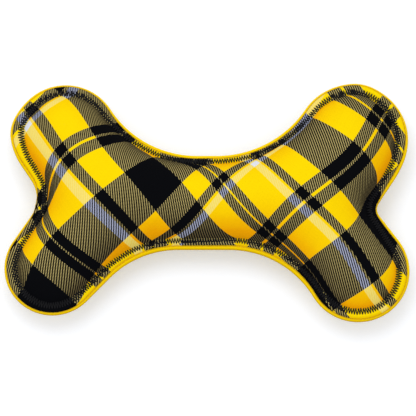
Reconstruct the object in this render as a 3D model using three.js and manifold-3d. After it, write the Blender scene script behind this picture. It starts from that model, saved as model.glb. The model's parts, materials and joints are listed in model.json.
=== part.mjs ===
// A stuffed, bone-shaped dog toy with a squeaker. Two cloth panels are sewn round the edge, turned
// and topstitched. Fibre fill swells the shaft and the four lobes, and a bellows squeaker with a
// reed lies in the middle of the shaft. Millimetres, +Z up, lying on its back panel on z = 0.

import * as THREE from 'three';
import { mergeVertices } from 'three/addons/utils/BufferGeometryUtils.js';
import Module from 'manifold-3d';

const wasm = await Module();
wasm.setup();

// Bone outline from the front: four round lobes on a straight shaft. A hollow round joins each lobe to
// the shaft, and a notch joins the two lobes of an end. A run is the straight stretch between two rounds.
const UPPER_RIGHT_LOBE = { x: 91.7, y: 40.8, radius: 35.4 };
const UPPER_LEFT_LOBE = { x: -90, y: 42.4, radius: 33.6 };
const LOWER_LEFT_LOBE = { x: -97.6, y: -42.4, radius: 30.4 };
const LOWER_RIGHT_LOBE = { x: 94.7, y: -44.5, radius: 32.6 };
const SHAFT_TOP = 30;
const SHAFT_BOTTOM = -30.8;
const UPPER_RIGHT_HOLLOW = { radius: 68, run: 2 };
const UPPER_LEFT_HOLLOW = { radius: 65, run: 3 };
const LOWER_LEFT_HOLLOW = { radius: 60, run: 20.5 };
const LOWER_RIGHT_HOLLOW = { radius: 61.5, run: 2 };
const LEFT_NOTCH = { radius: 20.5, upperRun: 12, lowerRun: 19.5 };
const RIGHT_NOTCH = { radius: 6.5, upperRun: 28, lowerRun: 20.5 };

// Cover
const SEAM_HEIGHT = 20; // the plane where the two panels meet, above the table
const CLOTH = 1; // flannel twill with its backing
const LOBE_FLANGE = 8.1; // flat turned edge round a lobe, from the fold to the foot of the stuffed dome
const WAIST_FLANGE = 5.3; // the same along the shaft and in the notches
const FLANGE_BLEND = 13; // reach along the edge over which one width runs into the other
const FLANGE_THICKNESS = 2; // each panel's outer layer and its turned-in seam allowance
const EDGE_ROUND = 1; // rolled fold at the outer edge
const RIM_SHOWS = 1.3; // the back panel's fold stands this far outside the front panel's
const FRONT_FULLNESS = 0.84; // 1 is a round section, less is flatter
const BACK_FULLNESS = 0.76;
const DOME_EASE = 6; // rounds the foot of the dome, where stuffed cloth can't stand square
const CLEARANCE = 0.3; // between neighbouring pieces

// Threads
const SEAM_THREAD_SIZE = 0.6;
const SEAM_THREAD_SHOWS = 0.3; // outside the front panel's fold, in the groove under it
const TOPSTITCH_WIDTH = 3.2; // across the zigzag
const TOPSTITCH_HEIGHT = 0.5;

// Fill
const SHAFT_HALF_LENGTH = 52; // from the middle to where the lobe fill starts

// Squeaker, a bellows drum on the middle of the shaft
const SQUEAKER_RADIUS = 16;
const SQUEAKER_HEIGHT = 18;
const SQUEAKER_WALL = 0.9;
const RIM_HEIGHT = 3; // plain rim of the base and of the crown
const RIM_ROUND = 0.8;
const PLEATS = 2;
const PLEAT_DEPTH = 3.6;
const PLEAT_CREST = 0.7; // flat width of a pleat's crest
const SOCKET_RADIUS = 5.6; // hole in the base for the reed plug
const SOCKET_COLLAR_HEIGHT = 5;
const SQUEEZE_TRAVEL = 7; // the crown goes down this far

// Reed
const PLUG_WALL = 1.7;
const PLUG_HEADROOM = 2; // left under the crown when it is pressed down
const PLUG_FLANGE_RADIUS = 7.4;
const PLUG_FLANGE_THICKNESS = 1.2;
const AIR_CHANNEL_WIDTH = 2;
const AIR_CHANNEL_DEPTH = 1.2;
const REED_THICKNESS = 0.25;
const REED_WIDTH = 3.8;
const CLAMP_LENGTH = 2.2;
const REED_TIP_INSET = 0.8; // the reed ends this far below the top of its seat

// Fineness of the facets
const OUTLINE_STEP = 9;
const OUTLINE_TURN = THREE.MathUtils.degToRad(24);
const DOME_RINGS = [1.5, 5]; // from the foot of the dome, where it rises steeply
const DOME_STEP = 10;
const LATTICE_MARGIN = 6; // least distance from the lattice to the last ring
const TIE_NUDGE = 0.001;
const FAR_CORNER = 20; // corners of the starting triangle, in lengths of the sheet
const FILM_SWEEPS = 400;
const ROUND_SEGMENTS = 36;
const REED_SEGMENTS = 20;

// Colours and finish
const TARTAN_YELLOW = 0xe8b400;
const BACK_YELLOW = 0xf2b705;
const THREAD_BLACK = 0x141414;
const SEAM_YELLOW = 0xd8a20a;
const FIBRE_WHITE = 0xf1efe8;
const PLASTIC_WHITE = 0xf4f4f0;
const REED_CLEAR = 0xdfe6ea;
const CLOTH_ROUGHNESS = 0.9;
const THREAD_ROUGHNESS = 0.7;
const FIBRE_ROUGHNESS = 1;
const PLASTIC_ROUGHNESS = 0.45;
const REED_ROUGHNESS = 0.3;

// Outline

// The round that hollows the edge between a lobe and the shaft's straight edge
function shaftRound(lobe, hollow, edge) {
  const y = edge + Math.sign(edge) * hollow.radius;
  const reach = Math.hypot(lobe.radius + hollow.radius, hollow.run);
  const x = lobe.x - Math.sign(lobe.x) * Math.sqrt(reach ** 2 - (y - lobe.y) ** 2);
  return { x, y, radius: hollow.radius, hollow: true };
}

// The round that hollows the end of the bone between its two lobes
function notchRound(upper, lower, notch) {
  const upperReach = Math.hypot(upper.radius + notch.radius, notch.upperRun);
  const lowerReach = Math.hypot(lower.radius + notch.radius, notch.lowerRun);
  const down = new THREE.Vector2(lower.x - upper.x, lower.y - upper.y);
  const apart = down.length();
  down.divideScalar(apart);
  const along = (upperReach ** 2 - lowerReach ** 2 + apart ** 2) / (2 * apart);
  const outward = Math.sign(upper.x) * Math.sqrt(upperReach ** 2 - along ** 2);
  const x = upper.x + along * down.x - outward * down.y;
  const y = upper.y + along * down.y + outward * down.x;
  return { x, y, radius: notch.radius, hollow: true };
}

const LEFT_NOTCH_ROUND = notchRound(UPPER_LEFT_LOBE, LOWER_LEFT_LOBE, LEFT_NOTCH);
const RIGHT_NOTCH_ROUND = notchRound(UPPER_RIGHT_LOBE, LOWER_RIGHT_LOBE, RIGHT_NOTCH);

// Counterclockwise, from the right
const OUTLINE_ROUNDS = [
  UPPER_RIGHT_LOBE,
  shaftRound(UPPER_RIGHT_LOBE, UPPER_RIGHT_HOLLOW, SHAFT_TOP),
  shaftRound(UPPER_LEFT_LOBE, UPPER_LEFT_HOLLOW, SHAFT_TOP),
  UPPER_LEFT_LOBE,
  LEFT_NOTCH_ROUND,
  LOWER_LEFT_LOBE,
  shaftRound(LOWER_LEFT_LOBE, LOWER_LEFT_HOLLOW, SHAFT_BOTTOM),
  shaftRound(LOWER_RIGHT_LOBE, LOWER_RIGHT_HOLLOW, SHAFT_BOTTOM),
  LOWER_RIGHT_LOBE,
  RIGHT_NOTCH_ROUND,
];

// Angle of the outward direction along the straight tangent from one round to the next
function tangentAngle(from, to) {
  const direction = new THREE.Vector2(to.x - from.x, to.y - from.y);
  const distance = direction.length();
  direction.divideScalar(distance);
  const fromReach = from.hollow ? -from.radius : from.radius;
  const toReach = to.hollow ? -to.radius : to.radius;
  const along = (fromReach - toReach) / distance;
  const across = Math.sqrt(1 - along ** 2);
  const outward = new THREE.Vector2(
    along * direction.x + across * direction.y,
    along * direction.y - across * direction.x,
  );
  return outward.angle();
}

function outlinePath(rounds) {
  const path = new THREE.Path();
  const count = rounds.length;
  rounds.forEach((round, i) => {
    const before = rounds[(i + count - 1) % count];
    const after = rounds[(i + 1) % count];
    const turned = round.hollow ? Math.PI : 0;
    const start = tangentAngle(before, round) + turned;
    const end = tangentAngle(round, after) + turned;
    path.absarc(round.x, round.y, round.radius, start, end, Boolean(round.hollow));
  });
  path.closePath();
  return path;
}

// Points along the edge, each with its outward direction and 1 on a lobe, 0 in a hollow or half between
function tracePath(path) {
  const stations = [];
  for (const curve of path.curves) {
    const onRound = curve.aClockwise ? 0 : 1;
    const onLobe = curve.isEllipseCurve ? onRound : 0.5;
    const turn = curve.getTangent(0).dot(curve.getTangent(1));
    const bend = Math.acos(THREE.MathUtils.clamp(turn, -1, 1));
    const steps = Math.max(1, Math.round(curve.getLength() / OUTLINE_STEP), Math.ceil(bend / OUTLINE_TURN));
    for (let i = 0; i < steps; i += 1) {
      const point = curve.getPoint(i / steps);
      const tangent = curve.getTangent(i / steps);
      stations.push({ point, outward: new THREE.Vector2(tangent.y, -tangent.x), onLobe });
    }
  }
  return stations;
}

// The stations moved so that the outline's box is centred on the origin
function centred(stations) {
  const box = new THREE.Box2().setFromPoints(stations.map((station) => station.point));
  const middle = box.getCenter(new THREE.Vector2());
  for (const station of stations) {
    station.point.sub(middle);
  }
  return { stations, middle };
}

const { stations: EDGE, middle: OUTLINE_MIDDLE } = centred(tracePath(outlinePath(OUTLINE_ROUNDS)));
const EDGE_COUNT = EDGE.length;

// Width of the flange at each station, wide round the lobes and narrow elsewhere
function flangeWidths(stations) {
  const steps = stations.map(({ point }, i) => point.distanceTo(stations[(i + 1) % EDGE_COUNT].point));
  const places = [0];
  for (const step of steps) {
    places.push(places[places.length - 1] + step);
  }
  const round = places[EDGE_COUNT];
  return stations.map((station, i) => {
    let total = 0;
    let lobes = 0;
    stations.forEach(({ onLobe }, j) => {
      const apart = Math.abs(places[i] - places[j]);
      const distance = Math.min(apart, round - apart);
      const weight = steps[j] * Math.exp(-((distance / FLANGE_BLEND) ** 2) / 2);
      total += weight;
      lobes += weight * onLobe;
    });
    return THREE.MathUtils.lerp(WAIST_FLANGE, LOBE_FLANGE, lobes / total);
  });
}

const FLANGE = flangeWidths(EDGE);

// The edge drawn in by an inset, at every station
function insetRing(inset) {
  return EDGE.map(({ point, outward }) => point.clone().addScaledVector(outward, -inset));
}

// The same, counted from the foot of the dome
function footRing(inset) {
  return EDGE.map(({ point, outward }, i) => point.clone().addScaledVector(outward, -inset - FLANGE[i]));
}

function insideRing(ring, x, y) {
  let inside = false;
  ring.forEach((a, i) => {
    const b = ring[(i + 1) % ring.length];
    const crosses = a.y > y !== b.y > y;
    if (crosses && x < a.x + ((y - a.y) * (b.x - a.x)) / (b.y - a.y)) {
      inside = !inside;
    }
  });
  return inside;
}

// Flat sheet inside the stitching, as triangles

function circumcircleHolds(a, b, c, p) {
  const ax = a.x - p.x;
  const ay = a.y - p.y;
  const bx = b.x - p.x;
  const by = b.y - p.y;
  const cx = c.x - p.x;
  const cy = c.y - p.y;
  const lift = (x, y) => x * x + y * y;
  const fromA = lift(ax, ay) * (bx * cy - cx * by);
  const fromB = lift(bx, by) * (ax * cy - cx * ay);
  const fromC = lift(cx, cy) * (ax * by - bx * ay);
  return fromA - fromB + fromC > 0;
}

// Delaunay triangles of the points: each new point clears the circles that hold it and fans the hole.
// The points of a round lie on one circle, so each is nudged a little here to leave no ties.
function delaunay(points) {
  const nudged = points.map((point, i) =>
    point.clone().add(new THREE.Vector2(TIE_NUDGE * Math.sin(i * i), TIE_NUDGE * Math.cos(i * i))),
  );
  const box = new THREE.Box2().setFromPoints(points);
  const reach = FAR_CORNER * box.getSize(new THREE.Vector2()).length();
  const outer = [
    new THREE.Vector2(-reach, -reach),
    new THREE.Vector2(reach, -reach),
    new THREE.Vector2(0, reach),
  ];
  const all = [...nudged, ...outer];
  const count = points.length;
  let triangles = [[count, count + 1, count + 2]];
  nudged.forEach((point, i) => {
    const kept = [];
    const hole = new Map();
    for (const triangle of triangles) {
      const [a, b, c] = triangle;
      if (!circumcircleHolds(all[a], all[b], all[c], point)) {
        kept.push(triangle);
        continue;
      }
      for (const [from, to] of [[a, b], [b, c], [c, a]]) {
        if (!hole.delete(`${to},${from}`)) {
          hole.set(`${from},${to}`, [from, to]);
        }
      }
    }
    for (const [from, to] of hole.values()) {
      kept.push([from, to, i]);
    }
    triangles = kept;
  });
  return triangles.filter((triangle) => Math.max(...triangle) < count);
}

// Two rings of the edge's stations, joined by triangles that face up when the second ring lies inside
function bandFaces(outerStart, innerStart) {
  const faces = [];
  for (let i = 0; i < EDGE_COUNT; i += 1) {
    const next = (i + 1) % EDGE_COUNT;
    faces.push([outerStart + i, outerStart + next, innerStart + next]);
    faces.push([outerStart + i, innerStart + next, innerStart + i]);
  }
  return faces;
}

// The sheet's points are the dome's foot, the rings next to it and a triangular lattice inside them
function flatSheet() {
  const rings = [0, ...DOME_RINGS].map(footRing);
  const last = rings[rings.length - 1];
  const box = new THREE.Box2().setFromPoints(last);
  const rowStep = DOME_STEP * Math.sin(Math.PI / 3);
  const lattice = [];
  for (let row = 0; box.min.y + row * rowStep < box.max.y; row += 1) {
    const y = box.min.y + row * rowStep;
    const shift = row % 2 === 0 ? 0 : DOME_STEP / 2;
    for (let x = box.min.x + shift; x < box.max.x; x += DOME_STEP) {
      const point = new THREE.Vector2(x, y);
      if (insideRing(last, x, y) && last.every((other) => other.distanceTo(point) > LATTICE_MARGIN)) {
        lattice.push(point);
      }
    }
  }
  const inner = [...last, ...lattice];
  const innerStart = EDGE_COUNT * (rings.length - 1);
  const faces = [];
  for (let ring = 0; ring + 1 < rings.length; ring += 1) {
    faces.push(...bandFaces(EDGE_COUNT * ring, EDGE_COUNT * (ring + 1)));
  }
  for (const triangle of delaunay(inner)) {
    const x = triangle.reduce((sum, corner) => sum + inner[corner].x / 3, 0);
    const y = triangle.reduce((sum, corner) => sum + inner[corner].y / 3, 0);
    if (insideRing(last, x, y)) {
      faces.push(triangle.map((corner) => corner + innerStart));
    }
  }
  return { points: [...rings.slice(0, -1).flat(), ...inner], faces };
}

const SHEET = flatSheet();

// Height of a full dome over each point of the sheet. A film blown up over the stitched line has its load
// spread by its links, and the root of its height gives round sections, which are eased at the foot.
function domeHeights({ points, faces }) {
  const area = points.map(() => 0);
  const links = points.map(() => new Map());
  for (const face of faces) {
    for (let i = 0; i < 3; i += 1) {
      const a = face[i];
      const b = face[(i + 1) % 3];
      const c = face[(i + 2) % 3];
      const toA = points[a].clone().sub(points[c]);
      const toB = points[b].clone().sub(points[c]);
      const cross = toA.cross(toB);
      const weight = toA.dot(toB) / cross / 2;
      links[a].set(b, (links[a].get(b) ?? 0) + weight);
      links[b].set(a, (links[b].get(a) ?? 0) + weight);
      area[c] += cross / 6;
    }
  }
  const film = points.map(() => 0);
  for (let sweep = 0; sweep < FILM_SWEEPS; sweep += 1) {
    for (let i = EDGE_COUNT; i < points.length; i += 1) {
      let pull = area[i];
      let total = 0;
      for (const [other, weight] of links[i]) {
        pull += weight * film[other];
        total += weight;
      }
      film[i] = pull / total;
    }
  }
  return film.map((value) => Math.sqrt(DOME_EASE ** 2 + 2 * value) - DOME_EASE);
}

const ROUND_DOME = domeHeights(SHEET);

// Surfaces of the cover. A side is 1 for the front, above the seam plane, and -1 for the back.
const FRONT = 1;
const BACK = -1;
const FULLNESS = { [FRONT]: FRONT_FULLNESS, [BACK]: BACK_FULLNESS };

function levelPoint(point, side, height) {
  return new THREE.Vector3(point.x, point.y, SEAM_HEIGHT + side * height);
}

// Outer face of the dome. The back is flat where it lies on the table.
function domePoints(side) {
  return SHEET.points.map((point, i) => {
    const place = levelPoint(point, side, FLANGE_THICKNESS + FULLNESS[side] * ROUND_DOME[i]);
    place.z = Math.max(place.z, 0);
    return place;
  });
}

// Outward direction at each point of a dome
function domeNormals(places, side) {
  const normals = places.map(() => new THREE.Vector3());
  for (const [a, b, c] of SHEET.faces) {
    const edge = places[b].clone().sub(places[a]);
    const normal = edge.cross(places[c].clone().sub(places[a])).multiplyScalar(side);
    normals[a].add(normal);
    normals[b].add(normal);
    normals[c].add(normal);
  }
  return normals.map((normal) => normal.normalize());
}

const DOME_PLACES = { [FRONT]: domePoints(FRONT), [BACK]: domePoints(BACK) };
const DOME_OUTWARD = {
  [FRONT]: domeNormals(DOME_PLACES[FRONT], FRONT),
  [BACK]: domeNormals(DOME_PLACES[BACK], BACK),
};

// The dome drawn in by a depth, square to its face
function domeInside(side, depth) {
  return DOME_PLACES[side].map((place, i) => place.clone().addScaledVector(DOME_OUTWARD[side][i], -depth));
}

// Solids

function solidFrom(places, faces) {
  const geometry = new THREE.BufferGeometry();
  geometry.setFromPoints(places);
  geometry.setIndex(faces.flat());
  return geometry;
}

function flipped(faces) {
  return faces.map(([a, b, c]) => [a, c, b]);
}

function shifted(faces, start) {
  return faces.map((face) => face.map((corner) => corner + start));
}

// Closed ring from inset and height pairs, listed round its section with the faces turned out. The insets
// are counted by the ring function, from the edge or from the foot of the dome.
function ringSolid(section, ringAt) {
  const places = [];
  for (const [inset, z] of section) {
    places.push(...ringAt(inset).map((point) => new THREE.Vector3(point.x, point.y, z)));
  }
  const faces = [];
  section.forEach((corner, i) => {
    faces.push(...bandFaces(i * EDGE_COUNT, ((i + 1) % section.length) * EDGE_COUNT));
  });
  return solidFrom(places, faces);
}

// One panel of the cover: a rolled outer edge, a flat flange and a stuffed dome of cloth
function panelSolid(side) {
  const mating = CLEARANCE / 2;
  const fold = side === FRONT ? RIM_SHOWS : 0;
  const rim = [
    [fold + EDGE_ROUND, mating],
    [fold, (mating + FLANGE_THICKNESS) / 2],
    [fold + EDGE_ROUND, FLANGE_THICKNESS],
  ];
  const places = rim.flatMap(([inset, height]) =>
    insetRing(inset).map((point) => levelPoint(point, side, height)),
  );
  const outerStart = places.length;
  places.push(...DOME_PLACES[side]);
  const innerStart = places.length;
  const inside = domeInside(side, CLOTH);
  footRing(CLOTH).forEach((point, i) => {
    inside[i] = levelPoint(point, side, mating);
  });
  places.push(...inside);
  const faces = [
    ...bandFaces(0, EDGE_COUNT),
    ...bandFaces(EDGE_COUNT, 2 * EDGE_COUNT),
    ...bandFaces(2 * EDGE_COUNT, outerStart),
    ...shifted(SHEET.faces, outerStart),
    ...flipped(bandFaces(0, innerStart)),
    ...flipped(shifted(SHEET.faces, innerStart)),
  ];
  return solidFrom(places, side === FRONT ? faces : flipped(faces));
}

// All the fill as one body, a clearance inside the cloth
function fillSolid() {
  const depth = CLOTH + CLEARANCE;
  const faces = SHEET.faces.filter((face) => Math.min(...face) >= EDGE_COUNT);
  const top = domeInside(FRONT, depth).slice(EDGE_COUNT);
  const bottom = domeInside(BACK, depth).slice(EDGE_COUNT);
  const topFaces = shifted(faces, -EDGE_COUNT);
  return solidFrom(
    [...top, ...bottom],
    [...topFaces, ...flipped(shifted(topFaces, top.length)), ...bandFaces(top.length, 0)],
  );
}

// Turned solid from a closed profile of radius and height pairs
function turned(profile, segments) {
  const points = [...profile, profile[0]].map(([radius, height]) => new THREE.Vector2(radius, height));
  return new THREE.LatheGeometry(points, segments).rotateX(Math.PI / 2);
}

// Upright cylinder between two heights
function uprightCylinder(radius, bottom, top) {
  const cylinder = new THREE.CylinderGeometry(radius, radius, top - bottom, ROUND_SEGMENTS);
  return cylinder.rotateX(Math.PI / 2).translate(0, 0, (bottom + top) / 2);
}

// Block between two opposite corners
function block(low, high) {
  const size = high.clone().sub(low);
  const middle = high.clone().add(low).multiplyScalar(0.5);
  return new THREE.BoxGeometry(size.x, size.y, size.z).translate(middle.x, middle.y, middle.z);
}

function toManifold(geometry) {
  const bare = geometry.clone();
  bare.deleteAttribute('normal');
  bare.deleteAttribute('uv');
  const merged = mergeVertices(bare);
  const mesh = new wasm.Mesh({
    numProp: 3,
    vertProperties: new Float32Array(merged.attributes.position.array),
    triVerts: new Uint32Array(merged.index.array),
  });
  return new wasm.Manifold(mesh);
}

function fromManifold(manifold) {
  const { vertProperties, triVerts } = manifold.getMesh();
  const geometry = new THREE.BufferGeometry();
  geometry.setAttribute('position', new THREE.BufferAttribute(vertProperties, 3));
  geometry.setIndex(new THREE.BufferAttribute(triVerts, 1));
  return geometry;
}

// The assembly

const toy = new THREE.Group();

function addPiece(name, geometry, color, roughness) {
  const material = new THREE.MeshStandardMaterial({ color, roughness, metalness: 0 });
  const mesh = new THREE.Mesh(geometry, material);
  mesh.name = name;
  toy.add(mesh);
}

// Cover and threads

function addCover() {
  addPiece('front_panel', panelSolid(FRONT), TARTAN_YELLOW, CLOTH_ROUGHNESS);
  addPiece('back_panel', panelSolid(BACK), BACK_YELLOW, CLOTH_ROUGHNESS);
}

function addThreads() {
  const half = SEAM_THREAD_SIZE / 2;
  const inset = RIM_SHOWS - SEAM_THREAD_SHOWS;
  const height = SEAM_HEIGHT - CLEARANCE / 2 + CLEARANCE + half;
  const seam = [
    [inset, height - half],
    [inset - half, height],
    [inset, height + half],
    [inset + half, height],
  ];
  addPiece('seam_thread', ringSolid(seam, insetRing), SEAM_YELLOW, THREAD_ROUGHNESS);
  const inner = -CLEARANCE;
  const outer = inner - TOPSTITCH_WIDTH;
  const near = FLANGE_THICKNESS + CLEARANCE;
  const far = near + TOPSTITCH_HEIGHT;
  const sections = {
    topstitch_needle_thread: [SEAM_HEIGHT + near, SEAM_HEIGHT + far],
    topstitch_bobbin_thread: [SEAM_HEIGHT - far, SEAM_HEIGHT - near],
  };
  for (const [name, [low, high]] of Object.entries(sections)) {
    const section = [
      [outer, low],
      [outer, high],
      [inner, high],
      [inner, low],
    ];
    addPiece(name, ringSolid(section, footRing), THREAD_BLACK, THREAD_ROUGHNESS);
  }
}

// Heights of the squeaker, set on the seam plane
const SQUEAKER_BOTTOM = SEAM_HEIGHT - SQUEAKER_HEIGHT / 2;
const SQUEAKER_TOP = SQUEAKER_BOTTOM + SQUEAKER_HEIGHT;
const PLUG_SEAT = SQUEAKER_BOTTOM - CLEARANCE;
const PLUG_BOTTOM = PLUG_SEAT - PLUG_FLANGE_THICKNESS;
const PLUG_TOP = SQUEAKER_TOP - SQUEAKER_WALL - SQUEEZE_TRAVEL - PLUG_HEADROOM;
const PLUG_RADIUS = SOCKET_RADIUS - CLEARANCE;
const PLUG_BORE = PLUG_RADIUS - PLUG_WALL;

// Fibre fill: a handful in each lobe, one on each side of the squeaker, one above it and one below
function addFill() {
  const fill = toManifold(fillSolid());
  const box = new THREE.Box3().setFromPoints([...DOME_PLACES[FRONT], ...DOME_PLACES[BACK]]);
  const chamber = toManifold(uprightCylinder(SQUEAKER_RADIUS + CLEARANCE, box.min.z, box.max.z));
  const gap = CLEARANCE / 2;
  const notches = {
    left: LEFT_NOTCH_ROUND.y - OUTLINE_MIDDLE.y,
    right: RIGHT_NOTCH_ROUND.y - OUTLINE_MIDDLE.y,
  };
  const cut = (low, high) => fill.intersect(toManifold(block(low, high)));
  for (const [hand, notch] of Object.entries(notches)) {
    const [from, to] = hand === 'left' ? [box.min.x, -SHAFT_HALF_LENGTH] : [SHAFT_HALF_LENGTH, box.max.x];
    const [lobeFrom, lobeTo] = hand === 'left' ? [from, to - gap] : [from + gap, to];
    const upper = cut(
      new THREE.Vector3(lobeFrom, notch + gap, box.min.z),
      new THREE.Vector3(lobeTo, box.max.y, box.max.z),
    );
    const lower = cut(
      new THREE.Vector3(lobeFrom, box.min.y, box.min.z),
      new THREE.Vector3(lobeTo, notch - gap, box.max.z),
    );
    addPiece(`upper_${hand}_lobe_fill`, fromManifold(upper), FIBRE_WHITE, FIBRE_ROUGHNESS);
    addPiece(`lower_${hand}_lobe_fill`, fromManifold(lower), FIBRE_WHITE, FIBRE_ROUGHNESS);
    const [shaftFrom, shaftTo] = hand === 'left' ? [to + gap, -gap] : [gap, from - gap];
    const shaft = cut(
      new THREE.Vector3(shaftFrom, box.min.y, box.min.z),
      new THREE.Vector3(shaftTo, box.max.y, box.max.z),
    );
    addPiece(`${hand}_shaft_fill`, fromManifold(shaft.subtract(chamber)), FIBRE_WHITE, FIBRE_ROUGHNESS);
  }
  const above = uprightCylinder(SQUEAKER_RADIUS, SQUEAKER_TOP + CLEARANCE, box.max.z);
  addPiece('front_wad', fromManifold(fill.intersect(toManifold(above))), FIBRE_WHITE, FIBRE_ROUGHNESS);
  const below = uprightCylinder(SQUEAKER_RADIUS, box.min.z, SQUEAKER_BOTTOM - CLEARANCE);
  const pocket = uprightCylinder(PLUG_FLANGE_RADIUS + CLEARANCE, PLUG_BOTTOM - CLEARANCE, SQUEAKER_TOP);
  const backWad = fill.intersect(toManifold(below)).subtract(toManifold(pocket));
  addPiece('back_wad', fromManifold(backWad), FIBRE_WHITE, FIBRE_ROUGHNESS);
}

// Squeaker drum: a base with a socket for the reed plug, a pleated wall and a crown

function addSqueakerBase() {
  const floor = SQUEAKER_BOTTOM;
  const collar = SOCKET_RADIUS + SQUEAKER_WALL;
  const rim = SQUEAKER_RADIUS - SQUEAKER_WALL;
  const profile = [
    [SOCKET_RADIUS, floor],
    [SQUEAKER_RADIUS - RIM_ROUND, floor],
    [SQUEAKER_RADIUS, floor + RIM_ROUND],
    [SQUEAKER_RADIUS, floor + RIM_HEIGHT],
    [rim, floor + RIM_HEIGHT],
    [rim, floor + SQUEAKER_WALL],
    [collar, floor + SQUEAKER_WALL],
    [collar, floor + SOCKET_COLLAR_HEIGHT],
    [SOCKET_RADIUS, floor + SOCKET_COLLAR_HEIGHT],
  ];
  addPiece('squeaker_base', turned(profile, ROUND_SEGMENTS), PLASTIC_WHITE, PLASTIC_ROUGHNESS);
}

function addSqueakerBellows() {
  const bottom = SQUEAKER_BOTTOM + RIM_HEIGHT + CLEARANCE;
  const top = SQUEAKER_TOP - RIM_HEIGHT - CLEARANCE;
  const pitch = (top - bottom) / PLEATS;
  const outerWall = [];
  for (let pleat = 0; pleat < PLEATS; pleat += 1) {
    const start = bottom + pleat * pitch;
    const middle = start + pitch / 2;
    const crest = pleat === 0 ? 0 : PLEAT_CREST / 2;
    outerWall.push([SQUEAKER_RADIUS, start + crest]);
    outerWall.push([SQUEAKER_RADIUS - PLEAT_DEPTH, middle - PLEAT_CREST / 2]);
    outerWall.push([SQUEAKER_RADIUS - PLEAT_DEPTH, middle + PLEAT_CREST / 2]);
    const last = pleat + 1 === PLEATS ? 0 : PLEAT_CREST / 2;
    outerWall.push([SQUEAKER_RADIUS, start + pitch - last]);
  }
  const innerWall = outerWall.map(([radius, height]) => [radius - SQUEAKER_WALL, height]).reverse();
  const bellows = turned([...outerWall, ...innerWall], ROUND_SEGMENTS);
  addPiece('squeaker_bellows', bellows, PLASTIC_WHITE, PLASTIC_ROUGHNESS);
}

function addSqueakerCrown() {
  const roof = SQUEAKER_TOP;
  const rim = SQUEAKER_RADIUS - SQUEAKER_WALL;
  const profile = [
    [0, roof - SQUEAKER_WALL],
    [rim, roof - SQUEAKER_WALL],
    [rim, roof - RIM_HEIGHT],
    [SQUEAKER_RADIUS, roof - RIM_HEIGHT],
    [SQUEAKER_RADIUS, roof - RIM_ROUND],
    [SQUEAKER_RADIUS - RIM_ROUND, roof],
    [0, roof],
  ];
  const points = profile.map(([radius, height]) => new THREE.Vector2(radius, height));
  const crown = new THREE.LatheGeometry(points, ROUND_SEGMENTS).rotateX(Math.PI / 2);
  addPiece('squeaker_crown', crown, PLASTIC_WHITE, PLASTIC_ROUGHNESS);
}

// Reed: a plug in the base's socket holds a half-round seat with an air channel, and a clamp holds
// the foot of a thin tongue against the seat

function addReedPlug() {
  const profile = [
    [PLUG_BORE, PLUG_BOTTOM],
    [PLUG_FLANGE_RADIUS, PLUG_BOTTOM],
    [PLUG_FLANGE_RADIUS, PLUG_SEAT],
    [PLUG_RADIUS, PLUG_SEAT],
    [PLUG_RADIUS, PLUG_TOP],
    [PLUG_BORE, PLUG_TOP],
  ];
  addPiece('reed_plug', turned(profile, ROUND_SEGMENTS), PLASTIC_WHITE, PLASTIC_ROUGHNESS);
}

// Upright half-round bar in the plug's bore, on the side of the axis that the sign gives
function halfBar(face, sign, bottom, top, channelWidth, channelDepth) {
  const radius = PLUG_BORE - CLEARANCE;
  const spread = Math.acos(face / radius);
  const shape = new THREE.Shape();
  shape.absarc(0, 0, radius, -spread, spread, false);
  if (channelDepth > 0) {
    shape.lineTo(face, channelWidth / 2);
    shape.lineTo(face + channelDepth, channelWidth / 2);
    shape.lineTo(face + channelDepth, -channelWidth / 2);
    shape.lineTo(face, -channelWidth / 2);
  }
  shape.closePath();
  const settings = { depth: top - bottom, bevelEnabled: false, curveSegments: REED_SEGMENTS };
  const bar = new THREE.ExtrudeGeometry(shape, settings).translate(0, 0, bottom);
  return sign > 0 ? bar : bar.rotateZ(Math.PI);
}

function addReed() {
  const reedFace = CLEARANCE / 2;
  const clampFace = reedFace + REED_THICKNESS + CLEARANCE;
  const seat = halfBar(reedFace, 1, PLUG_BOTTOM, PLUG_TOP, AIR_CHANNEL_WIDTH, AIR_CHANNEL_DEPTH);
  addPiece('reed_seat', seat, PLASTIC_WHITE, PLASTIC_ROUGHNESS);
  const clamp = halfBar(clampFace, -1, PLUG_BOTTOM, PLUG_BOTTOM + CLAMP_LENGTH, 0, 0);
  addPiece('reed_clamp', clamp, PLASTIC_WHITE, PLASTIC_ROUGHNESS);
  const tongue = block(
    new THREE.Vector3(-reedFace - REED_THICKNESS, -REED_WIDTH / 2, PLUG_BOTTOM),
    new THREE.Vector3(-reedFace, REED_WIDTH / 2, PLUG_TOP - REED_TIP_INSET),
  );
  addPiece('reed_tongue', tongue, REED_CLEAR, REED_ROUGHNESS);
}

addCover();
addThreads();
addFill();
addSqueakerBase();
addSqueakerBellows();
addSqueakerCrown();
addReedPlug();
addReed();

export default toy;
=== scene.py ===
"""Looks of a bone-shaped stuffed dog toy: a tartan twill front, a yellow twill back, black zigzag
topstitching, fibre fill and a bellows squeaker. Sizes are in millimetres until a mesh is made."""
import cmath
import json
import math
from collections import namedtuple

import bpy
import numpy as np
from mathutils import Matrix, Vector
from mathutils.bvhtree import BVHTree
from mathutils.geometry import delaunay_2d_cdt


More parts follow.
